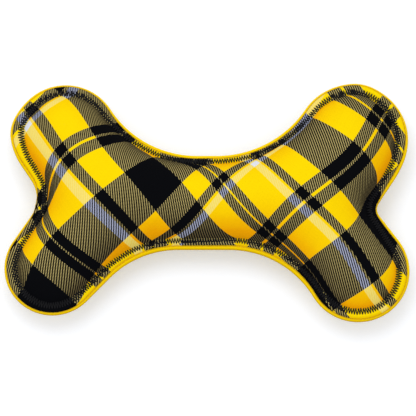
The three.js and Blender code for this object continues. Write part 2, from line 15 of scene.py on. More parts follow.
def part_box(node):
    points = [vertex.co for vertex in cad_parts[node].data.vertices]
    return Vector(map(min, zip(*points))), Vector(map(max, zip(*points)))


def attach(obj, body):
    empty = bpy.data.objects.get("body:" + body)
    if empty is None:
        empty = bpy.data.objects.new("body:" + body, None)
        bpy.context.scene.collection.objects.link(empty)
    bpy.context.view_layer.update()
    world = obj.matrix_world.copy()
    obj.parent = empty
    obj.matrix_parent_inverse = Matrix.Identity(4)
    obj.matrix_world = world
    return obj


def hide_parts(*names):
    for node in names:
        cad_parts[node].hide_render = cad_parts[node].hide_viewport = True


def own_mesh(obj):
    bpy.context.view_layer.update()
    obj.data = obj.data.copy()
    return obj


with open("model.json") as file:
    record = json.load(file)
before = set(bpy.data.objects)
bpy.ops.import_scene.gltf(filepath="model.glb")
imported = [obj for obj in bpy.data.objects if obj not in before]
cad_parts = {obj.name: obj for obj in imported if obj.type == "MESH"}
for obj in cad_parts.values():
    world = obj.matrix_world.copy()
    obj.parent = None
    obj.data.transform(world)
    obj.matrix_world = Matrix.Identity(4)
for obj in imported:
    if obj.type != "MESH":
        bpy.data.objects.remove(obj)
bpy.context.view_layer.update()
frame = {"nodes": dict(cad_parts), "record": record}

MM = 0.001

# Bone outline from the front, as the solids have it. A lobe is its centre and radius, a hollow its
# radius and straight run, and a notch its radius, upper run and lower run.
UPPER_RIGHT_LOBE = (complex(91.7, 40.8), 35.4)
UPPER_LEFT_LOBE = (complex(-90, 42.4), 33.6)
LOWER_LEFT_LOBE = (complex(-97.6, -42.4), 30.4)
LOWER_RIGHT_LOBE = (complex(94.7, -44.5), 32.6)
SHAFT_TOP = 30
SHAFT_BOTTOM = -30.8
UPPER_RIGHT_HOLLOW = (68, 2)
UPPER_LEFT_HOLLOW = (65, 3)
LOWER_LEFT_HOLLOW = (60, 20.5)
LOWER_RIGHT_HOLLOW = (61.5, 2)
LEFT_NOTCH = (20.5, 12, 19.5)
RIGHT_NOTCH = (6.5, 28, 20.5)

# Bulges of the sewn edge, which only the scene has: where the stuffing pushes it out, and how far
UPPER_LEFT_BULGE = (complex(-123, 47.5), 1.5)
UPPER_RIGHT_BULGE = (complex(98, 76), 0.9)
RIGHT_BULGE = (complex(119, 17), 0.9)
BULGE_REACH = 12

# Spacing of the outline's points: fine ones along its rounds, then even stations along all of it
OUTLINE_FINE_STEP = 0.2
STATION_STEP = 1.8

# Cover
SEAM_HEIGHT = 20
FRONT_FULLNESS = 0.84
BACK_FULLNESS = 0.76
EDGE_EASE = 6  # rounds the foot of the dome, where a stuffed cloth can't stand square
CLOTH = 0.8  # thickness of both panels
RIM_SHOWS = 1.65  # the back's rolled rim stands this far outside the front's fold
RIM_LEAN = 0.2  # more of it shows at the bottom, less at the top
WAIST_RIM = 1.0  # more again along the shaft
FOLD_LEFT = 0.35  # least cloth between the fold and the zigzag's holes
WRAP_PLACE = -1  # in the notches the front is drawn over the rim, this far up
WRAP_REACH = 9
LEFT_WRAP = 1.0
RIGHT_WRAP = 0.65
NOTCH_FACING = 0.5  # least share of its outward direction that points to the bone's end
RIM_WANDER = 0.15  # how unevenly the rim shows
RIM_WANDER_REACH = 14
RIM_SEED = 1
LOBE_STITCH = 6.1  # from the outer edge to the middle of the zigzag
SIDE_STITCH = 0.8  # further in again at the ends of the bone
WAIST_STITCH = 4.9
WAIST_LEAN = 0.65  # further in at the bottom of the shaft, less at the top
STITCH_WANDER = 0.15  # how unevenly it was sewn
STITCH_WANDER_REACH = 12
STITCH_SEED = 2
FOOT_GAP = 1.6  # from the middle of the zigzag to the foot of the dome
STITCH_BLEND = 13
FOOT_HEIGHT = 1.8  # from the seam plane to the dome's foot, on either side
FRONT_CREST = 1.7  # height of the front's flat edge between its fold and the zigzag
LOBE_CREST = 0.3  # more of it on the lobes
CREST_WANDER = 0.1
CREST_WANDER_REACH = 5
CREST_SEED = 3
DOME_RINGS = (0.4, 1.0, 1.9, 3.2, 5.0)  # insets of its first rings from the foot
LATTICE_STEP = 3.0
LATTICE_MARGIN = 2.3
INSIDE_ONLY = 1  # the triangulation's mode that keeps what lies inside the loop
MERGE_DISTANCE = 1e-6
FILM_ROUNDS = 500
FLAT_ROUNDS = 30  # of laying a panel flat, and the most steps to balance it in each
FLAT_STEPS = 60
TINY = 1e-12
LUMP_WAVES = 14
LUMP_LENGTHS = (26, 60)
LUMP_HEIGHT = 0.45
LUMP_SEED = 4
PUCKER_WIDTH = 2.4
PUCKER_HEIGHT = 0.4
PUCKER_REACH = 3.5
PUCKER_SEED = 5

# Rim of each panel, ring by ring from the turned-under edge to the stitching. A ring's inset is made up
# of shares of the rim that shows, the margin up to the stitching, the stitching's inset and the gap to
# the dome's foot, and of what is added to them. Its height is a share of the crest and what is added.
# The last field is painted shade on the back rim's outer roll, more towards the lower edge.
RimRing = namedtuple("RimRing", "rim margin stitch gap further crest height soil", defaults=[0] * 8)
FRONT_PROFILE = (
    RimRing(rim=1, further=0.9, height=0.12),
    RimRing(rim=1, further=0.1, height=0.25),
    RimRing(rim=1, height=0.5),
    RimRing(rim=1, further=0.3, height=0.95),
    RimRing(rim=1, margin=0.25, further=0.3, crest=0.8),
    RimRing(rim=1, margin=0.6, crest=1),
    RimRing(rim=1, margin=0.85, crest=0.5, height=0.875),
    RimRing(stitch=1, gap=-0.9, height=1.7),
    RimRing(stitch=1, height=1.6),
    RimRing(stitch=1, gap=0.7, height=1.65),
)
BACK_PROFILE = (
    RimRing(rim=1, further=1.2, height=0.25),
    RimRing(rim=1, further=0.3, height=-0.12),
    RimRing(rim=0.65, further=0.25, height=-0.35),
    # painted shade on the outer roll of the back's rim
    RimRing(rim=0.3, further=0.15, height=-0.15, soil=0.3),
    RimRing(further=0.1, height=0.45, soil=0.8),
    RimRing(height=1.1, soil=1),
    RimRing(further=0.3, height=1.85, soil=1),
    RimRing(margin=0.3, further=0.2, height=2.3, soil=0.6),
    RimRing(margin=0.7, height=2.3),
    RimRing(stitch=1, gap=-0.9, height=1.75),
    RimRing(stitch=1, height=1.6),
    RimRing(stitch=1, gap=0.7, height=1.65),
)

# Give of the bias-cut front, at the end of the bone and at its long edge
HALF_LENGTH = 100
HALF_WIDTH = 60
EDGE_DRAW = 5.2
END_DRAW = 5.7
NECK_DRAW = 5.5
WAIST_DRAW = 2.4
TWIST = 2.0

# More give in the lobes, at the lobe's middle or one reach away from it
FLAT_SPREAD = 1.06  # a lobe's middle lies this much further out on the flat panel
LOBE_REACH = 28
LOBE_DRAW = 4.1
LOBE_LIFT = 3.6
LOBE_TURN = 5.3
LEFT_FAN = 14.4
RIGHT_FAN = 6.1
UPPER_LEFT_SLACK = 6.4

WAIST_PULL = 5.0  # the turned edge along the shaft shows cloth from this much further in
PULLED_RINGS = 3  # rim rings over which the pull sets in

# The twill's lean: next to none at the lower left, and growing towards the upper right with the sum of
# the places along and across the bone
LOW_LEAN = -0.12
LEAN_GROWTH = 0.42
LEAN_PLACE = -62.0
LEAN_SPREAD = 25.0

# Topstitch and seam
WAIST_ZIGZAG = 1.7  # half its width
LOBE_ZIGZAG = 2.15
ZIGZAG_PITCH = 1.6  # from a needle hole to the next on the same side
ZIGZAG_WAVER = 0.1
FRONT_ZIGZAG_SEED = 11
BACK_ZIGZAG_SEED = 12
ZIGZAG_OVERLAP = (-20, -5)  # where the sewing started and ended, along the top of the shaft
THREAD_RADIUS = 0.285
THREAD_SIDES = 6
THREAD_ARCH = (-0.25, 0.1, 0.22, 0.25, 0.22, 0.1, -0.25)  # height of a stitch over the cloth, hole to hole
CAST_REACH = 60  # from where a stitch is dropped on the cloth
SEAM_STITCH = 2.4
SEAM_GAP = 0.35
SEAM_ARCH = (-0.1, 0.12, 0.12, -0.1)
SEAM_SHARE = 0.75  # its inset, as a share of the rim that shows, and more
SEAM_INSET = 0.1

# Fibre and squeaker
FIBRE_VOXEL = 2.5
TUFT_SIZE = 11
TUFT_DEPTH = 3.0
TUFT_DETAIL = 3
PLEATS = 2
PLEAT_DEPTH = 3.6
PLEAT_STEPS = 12
BELLOWS_WALL = 0.9
BELLOWS_SEGMENTS = 72
PLASTIC_ROUND = 0.12
PLASTIC_ROUND_STEPS = 2

# Camera and light, with the camera's distance and the lamp's size and place in metres
CAMERA_ELEVATION = math.radians(78)
CAMERA_DISTANCE = 3.0
FRAME_WIDTH = 262.8
CAMERA_SENSOR = 36
VIEW_SHIFT = (0.0025, -0.0129)
SKY = 0.88
KEY_POWER = 4.5
KEY_SIZE = 0.9
KEY_PLACE = (-0.25, 0.5, 1.2)
FLOOR_REACH = 2000
FLOOR_GLOW = 0.29


def colour(red, green, blue):
    return (red, green, blue, 1)


# Tartan: thread colours and widths along each repeat, from its wide black stripe
WARP_SETT = (
    ("black", 24.1),
    ("yellow", 14.2),
    ("black", 5.7),
    ("yellow", 1.2),
    ("black", 5.2),
    ("yellow", 17.1),
    ("white", 4.9),
    ("yellow", 1.3),
    ("black", 4.9),
    ("yellow", 14.1),
)
WEFT_SETT = (
    ("black", 25.3),
    ("yellow", 16.8),
    ("black", 6.8),
    ("yellow", 1.8),
    ("black", 7.1),
    ("yellow", 29.9),
    ("white", 4.6),
    ("yellow", 1.6),
    ("black", 5.9),
    ("yellow", 15.1),
)
WARP_TURN = math.radians(38.8)
WEFT_TURN = math.radians(49.7)
WARP_START = -30.9
WEFT_START = 18.3
BACK_TURN = math.radians(8)
YARN = 0.555  # from a yarn to the next
FLOAT_LENGTH = 2  # yarns that one passes over, and then under

YELLOW = colour(0.97, 0.73, 0.0013)
# ORANGE is painted shade on the front's slopes, and on the back a random deeper dye
ORANGE = colour(0.97, 0.42, 0.0013)
BLACK = colour(0.003, 0.0032, 0.0042)
WHITE = colour(0.76, 0.78, 0.86)
WHITE_ON_YELLOW = colour(0.92, 0.76, 0.20)
YELLOW_ON_WHITE = colour(0.92, 0.70, 0.12)
# yellow over black, lit, and with painted shade where the front falls away
YELLOW_ON_BLACK = colour(0.97, 0.79, 0.29)
SHADED_YELLOW = colour(0.30, 0.23, 0.095)
WHITE_ON_BLACK = colour(0.56, 0.60, 0.80)
THREAD_BLACK = colour(0.003, 0.003, 0.004)
THREAD_WORN = colour(0.01, 0.01, 0.012)
# yellow seam thread, its colour deepened with painted shade of the groove that it lies in
SEAM_YELLOW = colour(0.72, 0.42, 0.003)
SEAM_WORN = colour(0.82, 0.50, 0.004)
FIBRE = colour(0.86, 0.85, 0.82)
FIBRE_SHADE = colour(0.66, 0.65, 0.62)
PLASTIC = colour(0.82, 0.82, 0.78)
REED_SHEET = colour(0.72, 0.76, 0.79)
# painted shade for the back rim's outer roll, darker and browner
RIM_PAINTED_SHADE = colour(0.56, 0.31, 0.002)
FLOOR_PAPER = colour(0.79, 0.82, 0.88)
FLOOR_BOUNCE = colour(0.55, 0.55, 0.55)
LIGHT = colour(1, 1, 1)

# Cloth finish. Painted shade: the steeper the front falls away, the deeper and more orange its colour,
# more so where it faces the lower edge, and less in its rim. A noise's scale is in waves to the metre.
SLOPE_LEVEL = 0.14
SLOPE_GAIN = 1.55
SLOPE_LEAN = 0.33
RIM_SLOPE = 0.3
RIM_SHADE_LEVEL = 0.4  # painted shade on the rim's outer roll, more or less by the lean towards the lower edge
RIM_SHADE_LEAN = 0.6
DYE_UNEVENNESS = 0.1
BACK_UNEVENNESS = 0.35
YARN_UNEVENNESS = 0.4  # share of it that goes yarn by yarn, the rest being fluff
FLUFF_SCALE = 900
FLUFF_DETAIL = 3
# how far a white float over black darkens at its sides and ends: painted shade, and the black yarn showing
LILAC_DEPTH = 0.5
CLOTH_ROUGHNESS = 0.85
CLOTH_SHINE = 0.01
YARN_BUMP = 0.06
YARN_BUMP_STRENGTH = 0.6

# Thread, fibre and plastic finishes
THREAD_GRAIN = 2500
THREAD_DETAIL = 2
THREAD_ROUGHNESS = 0.6
THREAD_SHINE = 0.15
THREAD_BUMP = 0.05
STRAND_SCALE = 420
STRAND_DETAIL = 6
STRAND_BUMP = 0.8
FIBRE_ROUGHNESS = 0.95
FIBRE_SHEEN = 0.3
CLOUD_SCALE = 90
CLOUD_DETAIL = 3
CLOUD_SHADE = 0.9
PLASTIC_GRAIN = 1800
PLASTIC_DETAIL = 2
PLASTIC_GLOW = 0.1
PLASTIC_UNEVENNESS = 0.15
PLASTIC_BUMP = 0.03
PLASTIC_BUMP_STRENGTH = 0.4
DRUM_ROUGHNESS = 0.45
REED_ROUGHNESS = 0.2


def rounds_of_outline():
    """The lobes and hollows counterclockwise from the right, each as centre and reach, which is below 0
    on a hollow."""

    def shaft_round(lobe, hollow, edge):
        centre, lobe_radius = lobe
        radius, run = hollow
        y = edge + math.copysign(radius, edge)
        reach = math.hypot(lobe_radius + radius, run)
        inward = math.sqrt(reach ** 2 - (y - centre.imag) ** 2)
        return complex(centre.real - math.copysign(inward, centre.real), y), -radius

    def notch_round(upper, lower, notch):
        radius, upper_run, lower_run = notch
        upper_reach = math.hypot(upper[1] + radius, upper_run)
        lower_reach = math.hypot(lower[1] + radius, lower_run)
        down = lower[0] - upper[0]
        apart = abs(down)
        along = (upper_reach ** 2 - lower_reach ** 2 + apart ** 2) / (2 * apart)
        outward = math.copysign(math.sqrt(upper_reach ** 2 - along ** 2), upper[0].real)
        return upper[0] + down / apart * complex(along, outward), -radius

    return [
        UPPER_RIGHT_LOBE,
        shaft_round(UPPER_RIGHT_LOBE, UPPER_RIGHT_HOLLOW, SHAFT_TOP),
        shaft_round(UPPER_LEFT_LOBE, UPPER_LEFT_HOLLOW, SHAFT_TOP),
        UPPER_LEFT_LOBE,
        notch_round(UPPER_LEFT_LOBE, LOWER_LEFT_LOBE, LEFT_NOTCH),
        LOWER_LEFT_LOBE,
        shaft_round(LOWER_LEFT_LOBE, LOWER_LEFT_HOLLOW, SHAFT_BOTTOM),
        shaft_round(LOWER_RIGHT_LOBE, LOWER_RIGHT_HOLLOW, SHAFT_BOTTOM),
        LOWER_RIGHT_LOBE,
        notch_round(UPPER_RIGHT_LOBE, LOWER_RIGHT_LOBE, RIGHT_NOTCH),
    ]


def tangent(before, after):
    """Outward direction along the straight stretch between two rounds."""
    way = after[0] - before[0]
    along = (before[1] - after[1]) / abs(way)
    return way / abs(way) * complex(along, -math.sqrt(1 - along ** 2))


def trace_outline(rounds):
    """Evenly spaced points of the edge, their outward directions, and 1 on a lobe or 0 on a hollow."""
    points = []
    turns = []
    lobes = []
    for i, (centre, reach) in enumerate(rounds):
        start = tangent(rounds[i - 1], rounds[i])
        end = tangent(rounds[i], rounds[(i + 1) % len(rounds)])
        sweep = cmath.phase(end / start) % math.copysign(2 * math.pi, reach)
        steps = max(2, round(abs(sweep * reach) / OUTLINE_FINE_STEP))
        turn = start * np.exp(1j * np.linspace(0, sweep, steps))
        points.append(centre + reach * turn)
        turns.append(turn)
        lobes.append(np.full(steps, float(reach > 0)))
    points = np.concatenate(points + [points[0][:1]])
    angles = np.unwrap(np.angle(np.concatenate(turns + [turns[0][:1]])))
    lobes = np.concatenate(lobes + [lobes[0][:1]])
    length = np.concatenate([[0], np.cumsum(abs(np.diff(points)))])
    count = round(length[-1] / STATION_STEP)
    at = np.arange(count) * length[-1] / count
    edge = np.interp(at, length, points.real) + 1j * np.interp(at, length, points.imag)
    edge -= complex(edge.real.max() + edge.real.min(), edge.imag.max() + edge.imag.min()) / 2
    outward = np.exp(1j * np.interp(at, length, angles))
    for place, height in (UPPER_LEFT_BULGE, UPPER_RIGHT_BULGE, RIGHT_BULGE):
        edge = edge + outward * height * np.exp(-((abs(edge - place) / BULGE_REACH) ** 2))
    return edge, outward, np.interp(at, length, lobes)


EDGE, OUTWARD, ON_LOBE = trace_outline(rounds_of_outline())
STATIONS = len(EDGE)


def smoothed(values, reach):
    """Values round the edge, averaged over about reach millimetres each way."""
    steps = np.arange(STATIONS)
    distance = np.minimum(steps, STATIONS - steps) * STATION_STEP
    kernel = np.exp(-((distance / reach) ** 2) / 2)
    spread = np.fft.fft(values) * np.fft.fft(kernel / kernel.sum())
    return np.fft.ifft(spread).real


def wander(reach, seed):
    """Smooth unevenness round the edge, of about 1 up and down."""
    values = smoothed(np.random.default_rng(seed).normal(size=STATIONS), reach)
    return values / values.std()


LOBE_SHARE = smoothed(ON_LOBE, STITCH_BLEND)
WAIST_INSET = WAIST_STITCH - WAIST_LEAN * OUTWARD.imag
LOBE_INSET = LOBE_STITCH + SIDE_STITCH * OUTWARD.real ** 2
STITCH = WAIST_INSET + (LOBE_INSET - WAIST_INSET) * LOBE_SHARE
STITCH = STITCH + STITCH_WANDER * wander(STITCH_WANDER_REACH, STITCH_SEED)
ZIGZAG_REACH = WAIST_ZIGZAG + (LOBE_ZIGZAG - WAIST_ZIGZAG) * LOBE_SHARE
FOOT = STITCH + FOOT_GAP
NOTCH_WRAP = LEFT_WRAP * (OUTWARD.real < -NOTCH_FACING) + RIGHT_WRAP * (OUTWARD.real > NOTCH_FACING)
WRAPPED = NOTCH_WRAP * np.exp(-(((EDGE.imag - WRAP_PLACE) / WRAP_REACH) ** 2))
ALONG_SHAFT = (1 - LOBE_SHARE) * abs(OUTWARD.imag)
RIM = RIM_SHOWS - RIM_LEAN * OUTWARD.imag + WAIST_RIM * ALONG_SHAFT
RIM = RIM + RIM_WANDER * wander(RIM_WANDER_REACH, RIM_SEED)
RIM = np.minimum(RIM * (1 - WRAPPED), STITCH - ZIGZAG_REACH - FOLD_LEFT)


def ring(inset):
    """The line that runs inside the edge by an inset."""
    return EDGE - OUTWARD * inset


def inside(loop, points):
    """Which points lie inside a closed loop."""
    after = np.roll(loop, -1)
    result = np.zeros(len(points), bool)
    for a, b in zip(loop, after):
        if a.imag == b.imag:
            continue
        crosses = (a.imag > points.imag) != (b.imag > points.imag)
        cut = a.real + (points.imag - a.imag) * (b.real - a.real) / (b.imag - a.imag)
        result ^= crosses & (points.real < cut)
    return result


def band(outer, inner):
    """Quads between two rings of stations, facing up when the second lies inside."""
    here = np.arange(STATIONS)
    after = (here + 1) % STATIONS
    return np.stack([outer + here, outer + after, inner + after, inner + here], axis=1).tolist()


def stuffed_sheet():
    """The flat sheet inside the stitching: rings next to its edge, then a triangular lattice."""
    rings = [ring(FOOT + inset) for inset in (0,) + DOME_RINGS]
    last = rings[-1]
    row_step = LATTICE_STEP * math.sin(math.pi / 3)
    rows = np.arange(last.imag.min(), last.imag.max(), row_step)
    columns = np.arange(last.real.min(), last.real.max(), LATTICE_STEP)
    half_steps = LATTICE_STEP / 2 * (np.arange(len(rows)) % 2)
    grid = (columns[None, :] + 1j * rows[:, None] + half_steps[:, None]).ravel()
    grid = grid[inside(last, grid)]
    gap = np.min(abs(grid[:, None] - last[None, :]), axis=1)
    grid = grid[gap > LATTICE_MARGIN]
    inner = np.concatenate([last, grid])
    loop = [(i, (i + 1) % STATIONS) for i in range(STATIONS)]
    corners = [Vector((point.real, point.imag)) for point in inner]
    _, _, triangles, *_ = delaunay_2d_cdt(corners, loop, [], INSIDE_ONLY, MERGE_DISTANCE)
    start = STATIONS * (len(rings) - 1)
    faces = []
    for i in range(len(rings) - 1):
        faces += band(STATIONS * i, STATIONS * (i + 1))
    faces += [[start + corner for corner in triangle] for triangle in triangles]
    return np.concatenate(rings[:-1] + [inner]), faces


def triangles_of(faces):
    """Triangles of a list of quads and triangles, as an array."""
    result = []
    for face in faces:
        for i in range(1, len(face) - 1):
            result.append((face[0], face[i], face[i + 1]))
    return np.array(result)


def links_of(places, triangles):
    """The links of a triangle mesh as point pairs and cotangent weights, and each point's area."""
    pairs = []
    weights = []
    area = np.zeros(len(places))
    for i in range(3):
        a, b, c = (triangles[:, (i + k) % 3] for k in range(3))
        to_a = places[a] - places[c]
        to_b = places[b] - places[c]
        dot = np.sum(to_a * to_b, axis=1)
        cross = np.sqrt(np.sum(to_a ** 2, axis=1) * np.sum(to_b ** 2, axis=1) - dot ** 2)
        pairs.append(np.stack([a, b], axis=1))
        weights.append(dot / cross / 2)
        area += np.bincount(c, cross / 6, len(places))
    return np.concatenate(pairs), np.concatenate(weights), area


def balance(pairs, weights, load, held, start, rounds):
    """Value at each point where its links balance its load, by conjugate gradients from a start."""
    count = len(load)
    a, b = pairs.T
    total = np.bincount(a, weights, count) + np.bincount(b, weights, count)

    def pull(x):
        return total * x - np.bincount(a, weights * x[b], count) - np.bincount(b, weights * x[a], count)

    x = start.copy()
    rest = np.where(held, 0, load - pull(x))
    way = rest / total
    size = rest @ way
    for _ in range(rounds):
        if size < TINY:
            break
        change = np.where(held, 0, pull(way))
        step = size / (way @ change)
        x += step * way
        rest -= step * change
        scaled = rest / total
        new_size = rest @ scaled
        way = scaled + new_size / size * way
        size = new_size
    return x


SHEET, SHEET_FACES = stuffed_sheet()


def round_dome():
    """Height of a film blown up over the stitched line, with round sections eased at the foot."""
    flat = np.stack([SHEET.real, SHEET.imag], axis=1)
    pairs, weights, area = links_of(flat, triangles_of(SHEET_FACES))
    held = np.arange(len(SHEET)) < STATIONS
    film = balance(pairs, weights, area, held, np.zeros(len(SHEET)), FILM_ROUNDS)
    return np.sqrt(EDGE_EASE ** 2 + 2 * np.maximum(film, 0)) - EDGE_EASE


def lumps():
    """Unevenness of the packed fibre, of about 1 up and down: waves of random length and direction."""
    random = np.random.default_rng(LUMP_SEED)
    total = np.zeros(len(SHEET))
    for _ in range(LUMP_WAVES):
        way = cmath.exp(2j * math.pi * random.random()) * 2 * math.pi / random.uniform(*LUMP_LENGTHS)
        total += np.sin((SHEET * way).real + 2 * math.pi * random.random())
    return total / math.sqrt(LUMP_WAVES / 2)


def puckers():
    """Small gathers that run in from the stitching, of about 1 up and down."""
    foot = ring(FOOT)
    gathers = wander(PUCKER_WIDTH, PUCKER_SEED)
    result = np.zeros(len(SHEET))
    for start in range(0, len(SHEET), STATIONS):
        gap = abs(SHEET[start:start + STATIONS, None] - foot[None, :])
        away = gap.min(axis=1)
        fade = np.exp(-away / PUCKER_REACH) * (1 - np.exp(-away))
        result[start:start + STATIONS] = gathers[gap.argmin(axis=1)] * fade
    return result


DOME = round_dome()
DOME += LUMP_HEIGHT * lumps() * DOME / (DOME + EDGE_EASE) + PUCKER_HEIGHT * puckers()


def rim_from(profile, margin, crest):
    """Inset and height of each ring of a rim, all round the edge."""
    rings = []
    for part in profile:
        inset = part.rim * RIM + part.margin * margin + part.stitch * STITCH
        inset = inset + part.gap * FOOT_GAP + part.further
        rings.append((inset, part.crest * crest + part.height))
    return rings


def cover_places(rim_rings, side, fullness):
    """Points of one panel: its rim from the fold to the stitching, then its dome."""
    places = []
    for inset, height in rim_rings:
        points = ring(inset)
        places.append(np.stack([points.real, points.imag, SEAM_HEIGHT + side * height], axis=1))
    dome = SEAM_HEIGHT + side * (FOOT_HEIGHT + fullness * DOME)
    places.append(np.stack([SHEET.real, SHEET.imag, dome], axis=1))
    return np.concatenate(places)


def cover_faces(rim_count, side):
    """Faces of one panel, facing away from the fill."""
    start = rim_count * STATIONS
    faces = []
    for i in range(rim_count):
        faces += band(i * STATIONS, (i + 1) * STATIONS)
    faces += [[corner + start for corner in face] for face in SHEET_FACES]
    return faces if side > 0 else [face[::-1] for face in faces]


CREST = FRONT_CREST + LOBE_CREST * LOBE_SHARE + CREST_WANDER * wander(CREST_WANDER_REACH, CREST_SEED)
FRONT_RIM = rim_from(FRONT_PROFILE, STITCH - FOOT_GAP - RIM, CREST)
BACK_RIM = rim_from(BACK_PROFILE, STITCH - FOOT_GAP, np.zeros(STATIONS))
FRONT_PLACES = cover_places(FRONT_RIM, 1, FRONT_FULLNESS)
BACK_PLACES = cover_places(BACK_RIM, -1, BACK_FULLNESS)
BACK_PLACES[:, 2] = np.maximum(BACK_PLACES[:, 2], 0)
FRONT_FACES = cover_faces(len(FRONT_RIM), 1)
BACK_FACES = cover_faces(len(BACK_RIM), -1)


def flat_guess(rim_rings):
    """First guess of the flat panel: the dome as seen, and the rim folded open outside it."""
    heights = [height for _, height in rim_rings] + [np.full(STATIONS, FOOT_HEIGHT)]
    insets = [inset for inset, _ in rim_rings] + [FOOT]
    rings = []
    reach = np.zeros(STATIONS)
    for i in range(len(rim_rings) - 1, -1, -1):
        reach = reach + np.hypot(insets[i] - insets[i + 1], heights[i] - heights[i + 1])
        rings.insert(0, ring(FOOT - reach))
    return np.concatenate(rings + [SHEET])


def flattened(places, faces, guess):
    """The panel laid flat with the least stretch: each triangle turns without stretching, then all
    are joined again, over and over."""
    triangles = triangles_of(faces)
    pairs, weights, _ = links_of(places, triangles)
    count = len(triangles)
    first, second, third = (places[corner] for corner in triangles.T)
    edge = second - first
    other = third - first
    length = np.linalg.norm(edge, axis=1)
    along = np.sum(edge * other, axis=1) / length
    across = np.sqrt(np.maximum(np.sum(other ** 2, axis=1) - along ** 2, 0))
    rest = np.stack([np.zeros(count, complex), length + 0j, along + 1j * across], axis=1)
    rest_edges = np.concatenate([rest[:, i] - rest[:, (i + 1) % 3] for i in range(3)])
    a, b = pairs.T
    held = np.zeros(len(places), bool)
    held[0] = True

    def settled(wanted, start):
        load = np.bincount(a, wanted, len(places)) - np.bincount(b, wanted, len(places))
        return balance(pairs, weights, load, held, start, FLAT_STEPS)

    flat = guess.copy()
    for _ in range(FLAT_ROUNDS):
        flat_edges = flat[a] - flat[b]
        turn = (weights * flat_edges * rest_edges.conj()).reshape(3, count).sum(axis=0)
        turn /= np.maximum(abs(turn), TINY)
        wanted = weights * np.tile(turn, 3) * rest_edges
        flat = settled(wanted.real, flat.real) + 1j * settled(wanted.imag, flat.imag)
    seen = places[:, 0] + 1j * places[:, 1]
    flat -= flat.mean()
    match = np.sum((seen - seen.mean()) * flat.conj())
    return flat * match / abs(match) + seen.mean()


def lobe_give(flat, lobe, fan, slack):
    """How far the cloth of a lobe has moved: drawn in and lifted, turned, fanned out and slack."""
    middle = FLAT_SPREAD * lobe[0]
    outward = math.copysign(1, middle.real)
    upward = math.copysign(1, middle.imag)
    away = (flat - middle) / LOBE_REACH
    fanned = outward * (fan * upward * away.imag - LOBE_DRAW)
    turned = outward * LOBE_LIFT - LOBE_TURN * upward * away.real + slack * away.imag
    return np.exp(-(abs(away) ** 2) / 2) * (fanned + 1j * turned)


def bias_stretch(flat):
    """The flat panel with the give of bias-cut cloth: drawn in at the ends, and moved in the lobes."""
    along = flat.real / HALF_LENGTH
    across = flat.imag / HALF_WIDTH
    ends = TWIST * along * across - EDGE_DRAW * along * across ** 2 - END_DRAW * along ** 3
    sides = -NECK_DRAW * along ** 2 * across - WAIST_DRAW * across ** 3
    upper = lobe_give(flat, UPPER_RIGHT_LOBE, RIGHT_FAN, 0)
    upper = upper + lobe_give(flat, UPPER_LEFT_LOBE, LEFT_FAN, UPPER_LEFT_SLACK)
    lower = lobe_give(flat, LOWER_RIGHT_LOBE, RIGHT_FAN, 0)
    lower = lower + lobe_give(flat, LOWER_LEFT_LOBE, LEFT_FAN, 0)
    return flat + ends + 1j * sides + upper + lower


def lean_to(place):
    """The lean gathered up to a place, as the rounded foot of a ramp."""
    return LEAN_GROWTH * LEAN_SPREAD * np.logaddexp(0, (place - LEAN_PLACE) / LEAN_SPREAD)


def twill_lean(flat):
    """The flat panel with its twill leaning, as cloth does that is sewn a little askew."""
    lean = LOW_LEAN * flat.imag + lean_to(flat.real + flat.imag) - lean_to(flat.real)
    return flat + lean


def striped_places(flat):
    """Where the stripes are read: the stretched panel, with its edge pulled in along the shaft."""
    striped = bias_stretch(flat)
    rings = len(FRONT_RIM)
    share = np.clip((rings - 1 - np.arange(rings)) / PULLED_RINGS, 0, 1)
    striped[:rings * STATIONS] -= WAIST_PULL * np.outer(share, OUTWARD * ALONG_SHAFT).ravel()
    return striped


def linked(name, data):
    """A new object in the scene."""
    piece = bpy.data.objects.new(name, data)
    bpy.context.scene.collection.objects.link(piece)
    return piece


def mesh_object(name, places, faces):
    """A smooth mesh object from places in millimetres."""
    mesh = bpy.data.meshes.new(name)
    mesh.from_pydata((np.asarray(places) * MM).tolist(), [], faces)
    mesh.update()
    mesh.shade_smooth()
    return linked(name, mesh)


def add_flat_map(piece, name, flat):
    """Keeps the place of each point on the flat cloth, in millimetres, as a UV map of the piece."""
    mesh = piece.data
    corner_points = np.zeros(len(mesh.loops), int)
    mesh.loops.foreach_get("vertex_index", corner_points)
    places = flat[corner_points]
    values = np.stack([places.real, places.imag], axis=1)
    layer = mesh.uv_layers.new(name=name)
    layer.data.foreach_set("uv", values.ravel().astype(np.float32))


def add_point_values(piece, name, values):
    """Keeps a number for each point of the piece, for its finish to read."""
    layer = piece.data.attributes.new(name, "FLOAT", "POINT")
    layer.data.foreach_set("value", values.astype(np.float32))


def add_slope_shade(piece, places, faces):
    """Keeps painted shade on the front, deeper where it falls steeply and faces the lower edge, less in
    its rim.
    """
    triangles = triangles_of(faces)
    first, second, third = (places[corner] for corner in triangles.T)
    normal = np.cross(second - first, third - first)

    def gathered(values):
        return sum(np.bincount(corner, values, len(places)) for corner in triangles.T)

    total = np.stack([gathered(values) for values in normal.T], axis=1)
    total /= np.linalg.norm(total, axis=1)[:, None]
    steep = np.clip(SLOPE_LEVEL + SLOPE_GAIN * (1 - abs(total[:, 2])) - SLOPE_LEAN * total[:, 1], 0, 1)
    steep[:len(FRONT_RIM) * STATIONS] *= RIM_SLOPE
    add_point_values(piece, "slope", steep)


def add_rim_shade(piece):
    """Keeps the painted shade on the back's rim, most where its outer roll faces the lower edge."""
    lower = np.clip(RIM_SHADE_LEVEL - RIM_SHADE_LEAN * OUTWARD.imag, 0, 1)
    soil = np.zeros(len(BACK_PLACES))
    soil[:len(BACK_RIM) * STATIONS] = np.outer([part.soil for part in BACK_PROFILE], lower).ravel()
    add_point_values(piece, "soil", soil)


def solid_cloth(piece):
    """Gives a panel its thickness, towards the fill."""
    modifier = piece.modifiers.new("cloth", "SOLIDIFY")
    modifier.thickness = CLOTH * MM
    modifier.offset = -1


